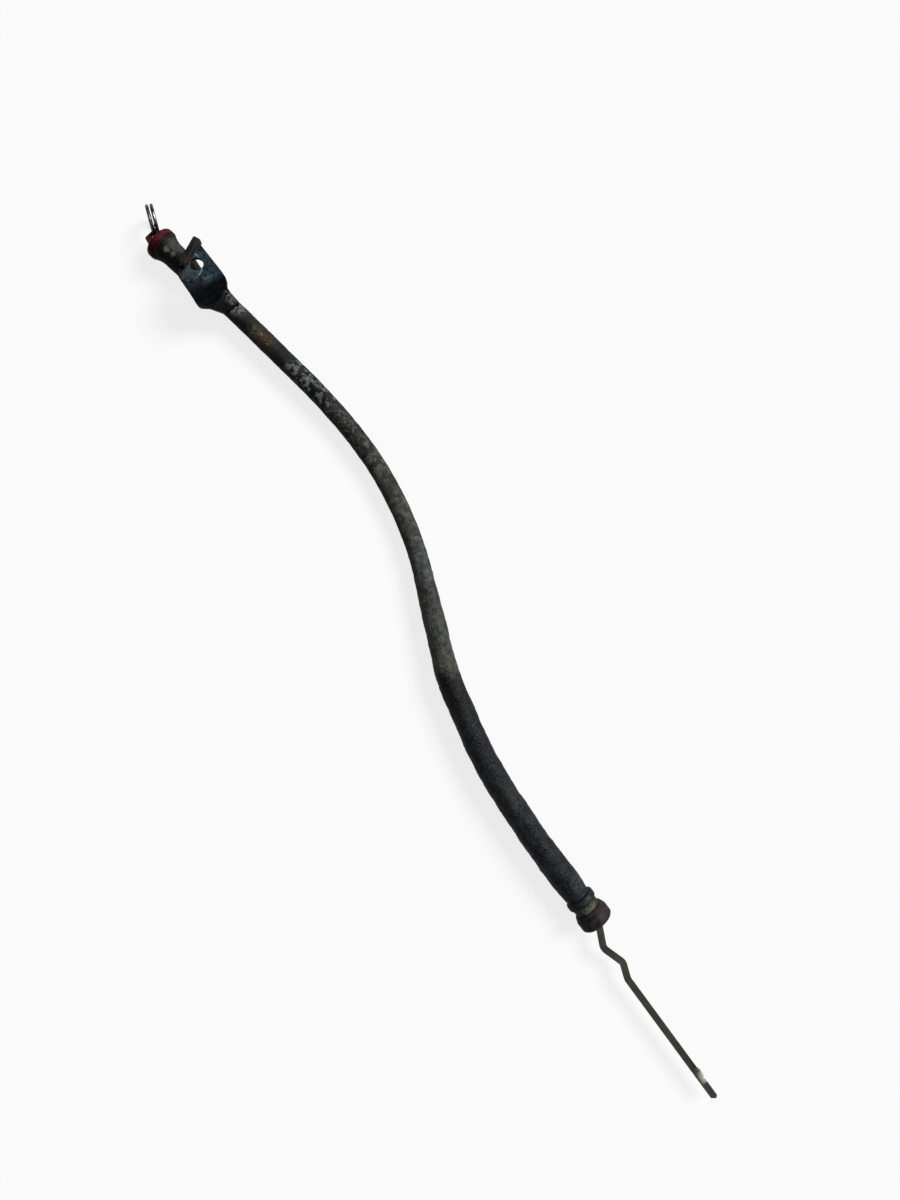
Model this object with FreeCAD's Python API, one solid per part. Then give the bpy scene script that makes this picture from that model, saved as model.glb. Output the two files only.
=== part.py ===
import FreeCAD, Part
import math
import os

# Oil dipstick of an engine, in the guide tube that it came out with, lying as it comes to rest.
# Millimetres, +Z up, origin in the middle of the underside.
# The tube bends in one plane. Everything is modelled in that plane, with the tube's centreline at
# height zero and the bolt side of the bracket up, and is laid on its three supports at the end.

# Guide tube: steel, its mouth expanded to a socket and flared
TUBE_OD = 10.0
TUBE_WALL = 1.0
SOCKET_OD = 12.5
SOCKET_LENGTH = 15.0
SOCKET_TAPER = 5.0
FLARE_OD = 16.2
FLARE_LENGTH = 6.0
FLARE_BULGE = 0.55

# Bends of the tube from its mouth: run up to the bend, turn in degrees, radius of the bend
MOUTH_HEADING = -42.4
FIRST_RUN = 51.3
FIRST_TURN = -1.9
FIRST_RADIUS = 300.0
SECOND_RUN = 59.4
SECOND_TURN = -5.8
SECOND_RADIUS = 300.0
THIRD_RUN = 61.2
THIRD_TURN = -26.5
THIRD_RADIUS = 185.0
FOURTH_RUN = 94.3
FOURTH_TURN = 9.8
FOURTH_RADIUS = 70.0
FIFTH_RUN = 49.5
FIFTH_TURN = 10.9
FIFTH_RADIUS = 250.0
SIXTH_RUN = 51.3
SIXTH_TURN = 3.9
SIXTH_RADIUS = 300.0
LAST_RUN = 38.7

# Rubber sleeve over the lower half of the tube, thickening downwards
SLEEVE_LENGTH = 180.0
SLEEVE_SHOULDER_AT = 57.0
SLEEVE_TOP_WALL = 0.3
SLEEVE_SHOULDER_WALL = 1.5
SLEEVE_END_WALL = 2.4
SLEEVE_STEP = 10.0

# Turned ferrule on the tube's lower end
FERRULE_LENGTH = 18.0
FERRULE_NECK_WALL = 1.2
FERRULE_NECK_LENGTH = 1.2
SPIGOT_WALL = 1.6
BEAD_HEIGHT = 1.0
BEAD_LENGTH = 4.6
BEAD_ROUNDING = 1.4
TUBE_SEAT_DEPTH = 13.0

# Rubber seal on the spigot, barrel-shaped
SEAL_WALL = 2.0
SEAL_LENGTH = 8.8
SEAL_LEAD_IN = 2.9
SEAL_LEAD_DEPTH = 1.1
SEAL_END_CHAMFER = 1.3

# Plastic stopper that closes the mouth
CAP_OD = 16.4
CAP_THICKNESS = 3.7
CAP_ROUNDING = 1.6
CAP_GAP = 0.5
CAP_STEP_OD = 15.2
PLUG_LENGTH = 13.0
PLUG_CLEARANCE = 0.15
PLUG_END_CHAMFER = 0.8
EAR_LENGTH = 4.4
EAR_WIDTH = 8.1
EAR_THICKNESS = 5.0
EAR_ROUNDING = 0.9

# O-ring in the plug
O_RING_SECTION = 1.5
O_RING_AT = 8.0
O_RING_GROOVE_PLAY = 0.4

# Ring handle: wire of two turns through the stopper's ear
WIRE_DIA = 1.65
RING_OD = 16.7
RING_PITCH = 2.2
RING_CROSSOVER = 18.0
RING_PLAY = 0.3
RING_SIDEWAYS = 1.2
RING_HOLE_WALL = 0.9
RING_SWING = 32.5
RING_LEAN = -5.6
RING_LIFT = 4.0

# Blade: spring steel strip, its upper end moulded into the stopper
BLADE_WIDTH = 3.5
BLADE_THICKNESS = 0.9
BLADE_IN_CAP = 2.5
BLADE_END = 73.8
NOTCH_AT = 10.4
NOTCH_DEPTH = 0.9
NOTCH_LENGTH = 2.0
BULGE_LENGTH = 5.4
BULGE = 0.6
TIP_ROUNDING = 1.5
TIP_SLANT = 1.6

# Bends of the blade below the ferrule, as above
BLADE_EXIT_TURN = -27.6
BLADE_EXIT_RADIUS = 3.2
BLADE_CRANK_RUN = 12.9
BLADE_CRANK_TURN = 43.2
BLADE_CRANK_RADIUS = 4.4
BLADE_RETURN_RUN = 12.2
BLADE_RETURN_TURN = -37.7
BLADE_RETURN_RADIUS = 3.0
BLADE_LEVEL_RUN = 8.6
BLADE_LEVEL_TURN = 20.4
BLADE_LEVEL_RADIUS = 5.0

# Bracket: folded steel plate, its foot brazed to the tube
PLATE = 3.0
BRACKET_AT = 26.6
BRACKET_SIDEWAYS = 1.4
BRACKET_TURN = -12.6
LEAF_RISE = 7.0
RAMP_START = 7.3
RAMP_END = 14.3
FOOT_END = 20.8
SADDLE_COVER = 1.5
FOLD_RADIUS = 2.0
LEAF_RIGHT = 7.8
LEAF_LEFT = -11.0
LEAF_END_AT = -3.4
FOOT_RIGHT = 7.0
FOOT_LEFT = -2.0
SHOULDER_RIGHT_AT = 9.4
SHOULDER_LEFT_AT = 11.8
SHOULDER_RADIUS = 2.5
WAIST_RIGHT = (11.6, 5.9)
WAIST_LEFT = (14.4, -6.7)
BOLT_HOLE_DIA = 6.6
HOLE_AT = -2.95
HOLE_SIDEWAYS = -0.32

# Tab folded up along the leaf's slanting far end
TAB_HEIGHT = 3.2
TAB_LENGTH = 15.6
TAB_ANGLE = -62.4
TAB_CLEARANCE = 0.2
TAB_CORNER = 1.6

BENDS = (
    (FIRST_RUN, FIRST_TURN, FIRST_RADIUS),
    (SECOND_RUN, SECOND_TURN, SECOND_RADIUS),
    (THIRD_RUN, THIRD_TURN, THIRD_RADIUS),
    (FOURTH_RUN, FOURTH_TURN, FOURTH_RADIUS),
    (FIFTH_RUN, FIFTH_TURN, FIFTH_RADIUS),
    (SIXTH_RUN, SIXTH_TURN, SIXTH_RADIUS),
)
BLADE_BENDS = (
    (BLADE_CRANK_RUN, BLADE_CRANK_TURN, BLADE_CRANK_RADIUS),
    (BLADE_RETURN_RUN, BLADE_RETURN_TURN, BLADE_RETURN_RADIUS),
    (BLADE_LEVEL_RUN, BLADE_LEVEL_TURN, BLADE_LEVEL_RADIUS),
)

Z_AXIS = FreeCAD.Vector(0, 0, 1)
X_AXIS = FreeCAD.Vector(1, 0, 0)


def direction(heading):
    """Unit vector in the bend plane at a heading in degrees."""
    angle = math.radians(heading)
    return FreeCAD.Vector(math.cos(angle), math.sin(angle), 0)


class Route:
    """A flat route of straight runs joined by tangent arcs, measured by the distance along it."""

    def __init__(self, start, heading, bends, last_run):
        self.pieces = []
        self.length = 0.0
        point = FreeCAD.Vector(start)
        used = 0.0
        for place, (run, turn, radius) in enumerate(bends):
            following = bends[place + 1][0] if place + 1 < len(bends) else last_run
            reach = radius * math.tan(math.radians(abs(turn)) / 2)
            reach = min(reach, min(run, following) - used)
            radius = reach / math.tan(math.radians(abs(turn)) / 2)
            straight = run - used - reach
            point = self.add(point, heading, straight, 0.0)
            point = self.add(point, heading, radius * math.radians(abs(turn)), turn)
            heading += turn
            used = reach
        self.add(point, heading, last_run - used, 0.0)

    def add(self, point, heading, length, turn):
        """Adds a run or an arc and returns its far end."""
        self.pieces.append((self.length, length, point, heading, turn))
        self.length += length
        return self.along(self.pieces[-1], length)[0]

    @staticmethod
    def along(piece, distance):
        """Point and heading at a distance along one piece."""
        _, length, point, heading, turn = piece
        if turn == 0:
            return point + direction(heading) * distance, heading
        radius = length / math.radians(abs(turn))
        side = math.copysign(90, turn)
        centre = point + direction(heading + side) * radius
        now = heading + turn * distance / length
        return centre - direction(now + side) * radius, now

    def at(self, distance):
        """Point and heading at a distance along the route, which runs on straight past its ends."""
        chosen = self.pieces[0]
        for piece in self.pieces:
            if piece[0] <= distance:
                chosen = piece
        return self.along(chosen, distance - chosen[0])

    def place(self, shape, distance):
        """The shape moved from the X axis to a distance along the route."""
        point, heading = self.at(distance)
        placed = shape.copy()
        placed.rotate(FreeCAD.Vector(), Z_AXIS, heading)
        placed.translate(point)
        return placed

    def sweep(self, section, start, end):
        """Solid that a section drawn round the X axis sweeps between two distances."""
        solids = []
        for piece in self.pieces:
            low = max(start, piece[0])
            high = min(end, piece[0] + piece[1])
            if piece is self.pieces[0]:
                low = start
            if piece is self.pieces[-1]:
                high = end
            if high - low < 0.001:
                continue
            face = self.place(section, low)
            point, heading = self.at(low)
            if piece[4] == 0:
                solids.append(face.extrude(direction(heading) * (high - low)))
                continue
            radius = piece[1] / math.radians(abs(piece[4]))
            centre = point + direction(heading + math.copysign(90, piece[4])) * radius
            turn = piece[4] * (high - low) / piece[1]
            solids.append(face.revolve(centre, Z_AXIS * math.copysign(1, turn), abs(turn)))
        return join(solids)


def join(solids):
    """One solid from several that meet."""
    joined = solids[0].multiFuse(solids[1:]) if len(solids) > 1 else solids[0]
    joined = joined.removeSplitter()
    return joined.Solids[0] if len(joined.Solids) == 1 else joined


def rounded_face(corners):
    """Flat face through (x, y, radius) corners, each rounded by its radius."""
    stops = []
    for place, (x, y, radius) in enumerate(corners):
        corner = FreeCAD.Vector(x, y, 0)
        before = corners[place - 1]
        after = corners[(place + 1) % len(corners)]
        back = (FreeCAD.Vector(before[0], before[1], 0) - corner).normalize()
        ahead = (FreeCAD.Vector(after[0], after[1], 0) - corner).normalize()
        if radius == 0:
            stops.append((corner, None, corner))
            continue
        half = back.getAngle(ahead) / 2
        reach = radius / math.tan(half)
        middle = corner + (back + ahead).normalize() * (radius / math.sin(half) - radius)
        stops.append((corner + back * reach, middle, corner + ahead * reach))
    edges = []
    for place, (start, middle, end) in enumerate(stops):
        if middle is not None:
            edges.append(Part.Arc(start, middle, end).toShape())
        following = stops[(place + 1) % len(stops)][0]
        if end.distanceToPoint(following) > 0.001:
            edges.append(Part.makeLine(end, following))
    return Part.Face(Part.Wire(edges))


def turned(corners):
    """Solid of revolution round the X axis from (distance, radius, rounding) corners."""
    return rounded_face(corners).revolve(FreeCAD.Vector(), X_AXIS, 360)


def disc(radius):
    """Round section across the X axis."""
    return Part.Face(Part.Wire(Part.makeCircle(radius, FreeCAD.Vector(), X_AXIS)))


def tube_route():
    """Centreline of the guide tube, from the rim of its mouth to its lower end."""
    return Route(FreeCAD.Vector(), MOUTH_HEADING, BENDS, LAST_RUN)


def blade_route():
    """Centreline of the blade: the tube's, then its own bends below."""
    inside = ((FIRST_RUN + BLADE_IN_CAP, FIRST_TURN, FIRST_RADIUS),) + BENDS[1:]
    exit_run = LAST_RUN - TUBE_SEAT_DEPTH + FERRULE_LENGTH
    start = direction(MOUTH_HEADING) * -BLADE_IN_CAP
    bends = inside + ((exit_run, BLADE_EXIT_TURN, BLADE_EXIT_RADIUS),) + BLADE_BENDS
    return Route(start, MOUTH_HEADING, bends, BLADE_END)


def flare_wall(route_radius, flare_radius, socket_radius):
    """Edges of the mouth from the flare's rim to the plain tube, at one side of the wall."""
    rim = FreeCAD.Vector(0, flare_radius, 0)
    throat = FreeCAD.Vector(FLARE_LENGTH, socket_radius, 0)
    middle = (rim + throat) / 2 - FreeCAD.Vector(FLARE_BULGE, FLARE_BULGE, 0)
    shoulder = FreeCAD.Vector(SOCKET_LENGTH, socket_radius, 0)
    end = FreeCAD.Vector(SOCKET_LENGTH + SOCKET_TAPER, route_radius, 0)
    return [
        Part.Arc(rim, middle, throat).toShape(),
        Part.makeLine(throat, shoulder),
        Part.makeLine(shoulder, end),
    ]


def make_guide_tube(route):
    """Bent tube with its flared mouth."""
    outer = flare_wall(TUBE_OD / 2, FLARE_OD / 2, SOCKET_OD / 2)
    bore = TUBE_OD / 2 - TUBE_WALL
    inner = flare_wall(bore, FLARE_OD / 2 - TUBE_WALL, SOCKET_OD / 2 - TUBE_WALL)
    rim = Part.makeLine(inner[0].Vertexes[0].Point, outer[0].Vertexes[0].Point)
    end = Part.makeLine(inner[-1].Vertexes[-1].Point, outer[-1].Vertexes[-1].Point)
    wall = Part.Face(Part.Wire(Part.__sortEdges__(outer + inner + [rim, end])))
    mouth = route.place(wall.revolve(FreeCAD.Vector(), X_AXIS, 360), 0)
    ring = disc(TUBE_OD / 2).cut(disc(bore))
    start = SOCKET_LENGTH + SOCKET_TAPER
    return join([mouth, route.sweep(ring.Faces[0], start, route.length)])


def ferrule_end(route):
    """Distance along the route of the ferrule's end, past the tube's end that is seated in it."""
    return route.length - TUBE_SEAT_DEPTH + FERRULE_LENGTH


def spigot_radius():
    """Radius of the ferrule's spigot, on which the seal sits."""
    return TUBE_OD / 2 + SPIGOT_WALL


def seal_radius():
    """Outer radius of the seal."""
    return spigot_radius() + SEAL_WALL


def sleeve_radius(distance):
    """Outer radius of the sleeve at a distance from its upper end."""
    start, end, low, high = 0.0, SLEEVE_SHOULDER_AT, SLEEVE_TOP_WALL, SLEEVE_SHOULDER_WALL
    if distance > SLEEVE_SHOULDER_AT:
        start, end, low, high = SLEEVE_SHOULDER_AT, SLEEVE_LENGTH, SLEEVE_SHOULDER_WALL, SLEEVE_END_WALL
    return TUBE_OD / 2 + low + (high - low) * (distance - start) / (end - start)


def make_sleeve(route):
    """Thickening rubber sleeve, from half way down the tube to the ferrule."""
    top = route.length - TUBE_SEAT_DEPTH - SLEEVE_LENGTH
    count = math.ceil(SLEEVE_LENGTH / SLEEVE_STEP)
    sections = []
    for place in range(count + 1):
        distance = SLEEVE_LENGTH * place / count
        point, heading = route.at(top + distance)
        circle = Part.makeCircle(sleeve_radius(distance), point, direction(heading))
        sections.append(Part.Wire(circle))
    body = Part.makeLoft(sections, True, False)
    return body.cut(route.sweep(disc(TUBE_OD / 2), top - 1, top + SLEEVE_LENGTH + 1)).Solids[0]


def make_ferrule(route):
    """Turned end of the tube with its bead and spigot."""
    bead_start = -FERRULE_LENGTH + FERRULE_NECK_LENGTH
    bead_end = bead_start + BEAD_LENGTH
    neck = TUBE_OD / 2 + FERRULE_NECK_WALL
    spigot = spigot_radius()
    bead = spigot + BEAD_HEIGHT
    blank = turned((
        (-FERRULE_LENGTH, 0, 0),
        (-FERRULE_LENGTH, neck, 0),
        (bead_start, neck, 0),
        (bead_start, bead, BEAD_ROUNDING),
        (bead_end, bead, BEAD_ROUNDING),
        (bead_end, spigot, 0),
        (0, spigot, 0),
        (0, 0, 0),
    ))
    end = ferrule_end(route)
    bore = route.sweep(disc(TUBE_OD / 2 - TUBE_WALL), end - 2 * FERRULE_LENGTH, end + FERRULE_LENGTH)
    seat = route.sweep(disc(TUBE_OD / 2), end - 2 * FERRULE_LENGTH, route.length)
    return route.place(blank, end).cut(bore).cut(seat).Solids[0]


def make_seal(route):
    """Rubber ring on the spigot, with a lead-in at both ends."""
    outer = seal_radius()
    inner = spigot_radius()
    ring = turned((
        (-SEAL_LENGTH, inner, 0),
        (-SEAL_LENGTH, outer - SEAL_LEAD_DEPTH, 0),
        (-SEAL_LENGTH + SEAL_LEAD_IN, outer, 0),
        (-SEAL_END_CHAMFER, outer, 0),
        (0, outer - SEAL_END_CHAMFER, 0),
        (0, inner, 0),
    ))
    return route.place(ring, ferrule_end(route))


def ring_section(half_length, half_height):
    """Plain rectangle beside the ring's axis, for the slot that the ring passes through."""
    radius = ring_radius()
    return Part.Face(Part.makePolygon([
        FreeCAD.Vector(radius + side * half_height, level * half_length, 0)
        for side, level in ((-1, -1), (1, -1), (1, 1), (-1, 1), (-1, -1))
    ]))


def ring_radius():
    """Radius of the ring handle to the middle of its wire."""
    return (RING_OD - WIRE_DIA) / 2


def ring_turn(side):
    """One turn of wire, open at the crossover, with rounded ends."""
    path = ring_radius()
    level = FreeCAD.Vector(0, side * RING_PITCH / 2, 0)
    circle = Part.Face(Part.Wire(Part.makeCircle(WIRE_DIA / 2, FreeCAD.Vector(path, 0, 0) + level, Z_AXIS)))
    circle.rotate(FreeCAD.Vector(), FreeCAD.Vector(0, 1, 0), RING_CROSSOVER)
    wire = circle.revolve(FreeCAD.Vector(), FreeCAD.Vector(0, 1, 0), 360 - 2 * RING_CROSSOVER)
    ends = [Part.makeSphere(WIRE_DIA / 2, end) for end in ring_ends(side)]
    return [wire] + ends


def ring_ends(side):
    """Middles of the wire at both ends of one turn."""
    path = ring_radius()
    angle = math.radians(RING_CROSSOVER)
    return [
        FreeCAD.Vector(path * math.cos(angle), side * RING_PITCH / 2, -step * path * math.sin(angle))
        for step in (1, -1)
    ]


def place_ring(shape):
    """Moves a shape from the ring's own axes to its place in the ear, on the X axis of the mouth."""
    placed = shape.copy()
    placed.rotate(FreeCAD.Vector(), FreeCAD.Vector(0, 1, 0), 90)
    placed.translate(FreeCAD.Vector(-ring_radius(), 0, 0))
    placed.rotate(FreeCAD.Vector(), FreeCAD.Vector(0, 1, 0), RING_LIFT)
    placed.rotate(FreeCAD.Vector(), X_AXIS, RING_LEAN)
    placed.rotate(FreeCAD.Vector(), Z_AXIS, -RING_SWING)
    ear_end = -CAP_GAP - CAP_THICKNESS - EAR_LENGTH
    reach = WIRE_DIA / 2 + RING_PLAY + RING_PITCH / 2 * math.sin(math.radians(RING_SWING))
    placed.translate(FreeCAD.Vector(ear_end + RING_HOLE_WALL + reach, RING_SIDEWAYS, 0))
    return placed


def make_ring(route):
    """Ring handle of two turns, with a slanting crossover between them."""
    start = ring_ends(-1)[1]
    end = ring_ends(1)[0]
    crossover = Part.makeCylinder(WIRE_DIA / 2, start.distanceToPoint(end), start, end - start)
    return route.place(place_ring(join(ring_turn(-1) + ring_turn(1) + [crossover])), 0)


def make_stopper(route, blade):
    """Stopper: round cap with an ear for the ring, and a plug with a groove for its O-ring."""
    top = -CAP_GAP - CAP_THICKNESS
    plug = plug_radius()
    groove = SOCKET_OD / 2 - TUBE_WALL - O_RING_SECTION
    half_groove = (O_RING_SECTION + O_RING_GROOVE_PLAY) / 2
    body = turned((
        (top, 0, 0),
        (top, CAP_OD / 2, CAP_ROUNDING),
        (-CAP_GAP, CAP_OD / 2, 0),
        (-CAP_GAP, CAP_STEP_OD / 2, 0),
        (0, CAP_STEP_OD / 2, 0),
        (0, plug, 0),
        (O_RING_AT - half_groove, plug, 0),
        (O_RING_AT - half_groove, groove, 0),
        (O_RING_AT + half_groove, groove, 0),
        (O_RING_AT + half_groove, plug, 0),
        (PLUG_LENGTH - PLUG_END_CHAMFER, plug, 0),
        (PLUG_LENGTH, plug - PLUG_END_CHAMFER, 0),
        (PLUG_LENGTH, 0, 0),
    ))
    root = top + CAP_ROUNDING
    outline = rounded_face((
        (top - EAR_LENGTH, -EAR_WIDTH / 2, EAR_ROUNDING),
        (root, -EAR_WIDTH / 2, 0),
        (root, EAR_WIDTH / 2, 0),
        (top - EAR_LENGTH, EAR_WIDTH / 2, EAR_ROUNDING),
    ))
    ear = outline.extrude(Z_AXIS * EAR_THICKNESS)
    ear.translate(Z_AXIS * (-EAR_THICKNESS / 2))
    half_pair = (RING_PITCH + WIRE_DIA) / 2 + RING_PLAY
    slot = ring_section(half_pair, WIRE_DIA / 2 + RING_PLAY)
    slot = slot.revolve(FreeCAD.Vector(), FreeCAD.Vector(0, 1, 0), 360)
    stopper = join([body, ear]).cut(place_ring(slot))
    return route.place(stopper, 0).cut(blade).Solids[0]


def plug_radius():
    """Radius of the plug, a running clearance inside the socket."""
    return SOCKET_OD / 2 - TUBE_WALL - PLUG_CLEARANCE


def make_o_ring(route):
    """O-ring between the plug's groove and the socket."""
    middle = SOCKET_OD / 2 - TUBE_WALL - O_RING_SECTION / 2
    ring = Part.makeTorus(middle, O_RING_SECTION / 2, FreeCAD.Vector(O_RING_AT, 0, 0), X_AXIS)
    return route.place(ring, 0)


def make_blade(route):
    """Strip from the stopper to the tip, with a notch at the level mark."""
    half = BLADE_WIDTH / 2
    section = Part.Face(Part.makePolygon([
        FreeCAD.Vector(0, side * half, level * BLADE_THICKNESS / 2)
        for side, level in ((-1, -1), (1, -1), (1, 1), (-1, 1), (-1, -1))
    ]))
    wide_start = -NOTCH_AT - NOTCH_LENGTH - BULGE_LENGTH
    strip = route.sweep(section, 0, route.length + wide_start)
    tip = rounded_face((
        (wide_start, -half, 0),
        (-TIP_SLANT, -half, 0.3),
        (0, 0, 0.3),
        (0, half, TIP_ROUNDING),
        (-NOTCH_AT, half, 0),
        (-NOTCH_AT - NOTCH_LENGTH / 2, half - NOTCH_DEPTH, 0),
        (-NOTCH_AT - NOTCH_LENGTH, half + BULGE, 0),
        (wide_start + BULGE_LENGTH / 3, half + BULGE, 0),
        (wide_start, half, 0),
    )).extrude(Z_AXIS * BLADE_THICKNESS)
    tip.translate(Z_AXIS * (-BLADE_THICKNESS / 2))
    return join([strip, route.place(tip, route.length)])


def place_bracket(route, shape):
    """Moves a shape from the bracket's own axes to its place over the tube."""
    placed = shape.copy()
    placed.rotate(FreeCAD.Vector(), Z_AXIS, BRACKET_TURN)
    placed.translate(FreeCAD.Vector(BRACKET_AT, BRACKET_SIDEWAYS, 0))
    return route.place(placed, 0)


def leaf_underside():
    """Height of the leaf's lower face over the tube's centreline."""
    return TUBE_OD / 2 + LEAF_RISE


def hole_centre():
    """Middle of the bolt hole at the leaf's lower face, on the bracket's own axes."""
    return FreeCAD.Vector(HOLE_AT, HOLE_SIDEWAYS, leaf_underside())


def make_bracket(route):
    """Folded plate: a leaf with the bolt hole, a ramp and a saddle foot, and a tab folded up."""
    low = leaf_underside()
    high = low + PLATE
    foot_high = TUBE_OD / 2 + SADDLE_COVER
    foot_low = foot_high - PLATE
    hole = hole_centre()
    along = direction(TAB_ANGLE)
    outward = direction(TAB_ANGLE - 90)
    tab_face = FreeCAD.Vector(hole.x, hole.y, 0) + outward * (BOLT_HOLE_DIA / 2 + TAB_CLEARANCE)
    tab_right = tab_face - along * ((tab_face.y - LEAF_RIGHT) / along.y)
    tab_left = tab_right + along * TAB_LENGTH
    outer_right = tab_right + outward * PLATE
    outer_left = tab_left + outward * PLATE
    back = outer_right.x - PLATE
    drop = PLATE * math.tan(math.atan2(high - foot_high, RAMP_END - RAMP_START) / 2)
    side = rounded_face((
        (back, low, 0),
        (RAMP_START - drop, low, FOLD_RADIUS),
        (RAMP_END - drop, foot_low, FOLD_RADIUS + PLATE),
        (FOOT_END, foot_low, 0),
        (FOOT_END, foot_high, 0),
        (RAMP_END, foot_high, FOLD_RADIUS),
        (RAMP_START, high, FOLD_RADIUS + PLATE),
        (back, high, 0),
    ))
    side.rotate(FreeCAD.Vector(), X_AXIS, 90)
    strip = side.extrude(FreeCAD.Vector(0, 2 * (LEAF_RIGHT - LEAF_LEFT), 0))
    strip.translate(FreeCAD.Vector(0, LEAF_LEFT - LEAF_RIGHT, 0))
    plan = rounded_face((
        (outer_right.x, outer_right.y, 0),
        (outer_left.x, outer_left.y, 0),
        (LEAF_END_AT, LEAF_LEFT, SHOULDER_RADIUS),
        (SHOULDER_LEFT_AT, LEAF_LEFT, SHOULDER_RADIUS),
        (WAIST_LEFT[0], WAIST_LEFT[1], SHOULDER_RADIUS),
        (FOOT_END, FOOT_LEFT, 1.0),
        (FOOT_END, FOOT_RIGHT, 1.0),
        (WAIST_RIGHT[0], WAIST_RIGHT[1], 1.0),
        (SHOULDER_RIGHT_AT, LEAF_RIGHT, 1.0),
    )).extrude(Z_AXIS * 2 * high)
    leaf = strip.common(plan)
    tab = rounded_face((
        (0, high - PLATE, 0),
        (TAB_LENGTH, high - PLATE, 0),
        (TAB_LENGTH, high + TAB_HEIGHT, TAB_CORNER),
        (0, high + TAB_HEIGHT, TAB_CORNER),
    ))
    tab.rotate(FreeCAD.Vector(), X_AXIS, 90)
    tab = tab.extrude(FreeCAD.Vector(0, -PLATE, 0))
    tab.rotate(FreeCAD.Vector(), Z_AXIS, TAB_ANGLE)
    tab.translate(tab_right)
    drill = Part.makeCylinder(BOLT_HOLE_DIA / 2, 4 * high, FreeCAD.Vector(hole.x, hole.y, 0), Z_AXIS)
    placed = place_bracket(route, join([leaf, tab]).cut(drill))
    tube = route.sweep(disc(TUBE_OD / 2), 0, 2 * (BRACKET_AT + FOOT_END))
    return placed.cut(tube).Solids[0]


def rim_low(centre, heading, radius, floor):
    """Lowest point of a round rim across a heading, for a floor with this upward normal."""
    axis = direction(heading)
    down = floor - axis * floor.dot(axis)
    return centre - down.normalize() * radius


def rest_floor(route):
    """Upward normal of the floor and a point on it: it carries the cap, the belly and the seal."""
    cap_point, cap_heading = route.at(-CAP_GAP - CAP_ROUNDING / 2)
    seal_point, seal_heading = route.at(ferrule_end(route) - SEAL_END_CHAMFER)
    floor = Z_AXIS
    for _ in range(20):
        cap = rim_low(cap_point, cap_heading, CAP_OD / 2, floor)
        seal = rim_low(seal_point, seal_heading, seal_radius(), floor)
        chord = (seal - cap).normalize()
        offsets = []
        for step in range(int(route.length)):
            point, _ = route.at(step)
            offsets.append((chord.cross(point - cap).dot(Z_AXIS), step))
        point, heading = route.at(max(offsets)[1])
        belly = rim_low(point, heading, TUBE_OD / 2, floor)
        floor = (seal - cap).cross(belly - cap).normalize()
        floor = floor if floor.z > 0 else floor * -1
    return floor, cap


def lay_down(shapes, route):
    """All shapes turned on to the floor, with the origin in the middle of the underside."""
    floor, contact = rest_floor(route)
    turn = FreeCAD.Rotation(floor, Z_AXIS)
    laid = {}
    box = FreeCAD.BoundBox()
    for name, shape in shapes.items():
        laid[name] = shape.copy()
        laid[name].Placement = FreeCAD.Placement(-turn.multVec(contact), turn).multiply(shape.Placement)
        box.add(laid[name].optimalBoundingBox())
    shift = FreeCAD.Vector(-box.Center.x, -box.Center.y, 0)
    for shape in laid.values():
        shape.translate(shift)
    return laid


def build():
    """All nodes by name, in the part's frame."""
    route = tube_route()
    blade = make_blade(blade_route())
    shapes = {
        "guide_tube": make_guide_tube(route),
        "mounting_bracket": make_bracket(route),
        "protective_sleeve": make_sleeve(route),
        "end_ferrule": make_ferrule(route),
        "seal_ring": make_seal(route),
        "stopper": make_stopper(route, blade),
        "stopper_o_ring": make_o_ring(route),
        "dipstick_blade": blade,
        "ring_handle": make_ring(route),
    }
    return lay_down(shapes, route)


def main():
    """Writes one STEP file for each node."""
    os.makedirs("parts", exist_ok=True)
    for name, shape in build().items():
        shape.exportStep(os.path.join("parts", name + ".step"))
        print(name, "valid" if shape.isValid() else "NOT VALID", len(shape.Solids), round(shape.Volume, 1))


main()
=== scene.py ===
"""Looks of an oil dipstick in its guide tube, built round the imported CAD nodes. Metres, +Z up."""

import logging
import math
from dataclasses import dataclass, field
from enum import Enum
from typing import Callable

import bpy
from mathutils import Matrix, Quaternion, Vector


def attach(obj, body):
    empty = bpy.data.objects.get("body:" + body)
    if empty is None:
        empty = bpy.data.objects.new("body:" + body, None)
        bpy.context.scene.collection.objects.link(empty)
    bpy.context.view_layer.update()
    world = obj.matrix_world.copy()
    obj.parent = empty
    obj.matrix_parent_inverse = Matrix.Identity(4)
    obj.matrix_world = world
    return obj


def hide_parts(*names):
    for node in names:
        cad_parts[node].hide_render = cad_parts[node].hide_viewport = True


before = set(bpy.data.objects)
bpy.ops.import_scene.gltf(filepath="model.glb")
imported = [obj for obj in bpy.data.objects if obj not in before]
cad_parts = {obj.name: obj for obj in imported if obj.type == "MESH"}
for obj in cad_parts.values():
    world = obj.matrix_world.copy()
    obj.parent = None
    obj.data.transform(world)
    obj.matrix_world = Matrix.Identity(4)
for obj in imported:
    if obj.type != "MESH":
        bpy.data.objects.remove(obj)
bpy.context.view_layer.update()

LOG = logging.getLogger("dipstick")
MM = 0.001

# Share of a patch's radius by which noise makes its edge ragged, and the size of that noise.
RAGGED = 0.9
RAGGED_LUMP = 0.5
# Rise of a pattern's value over which a speck or an island of paint goes from bare to full.
CRISP = 0.05
# Size of the thin places in a patch, as a share of its islands.
POWDER_LUMP = 0.22
# Millimetres by which the edge of a washer's mark wanders, and the size of that noise.
WANDER = 0.9
WANDER_LUMP = 1.4


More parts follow.
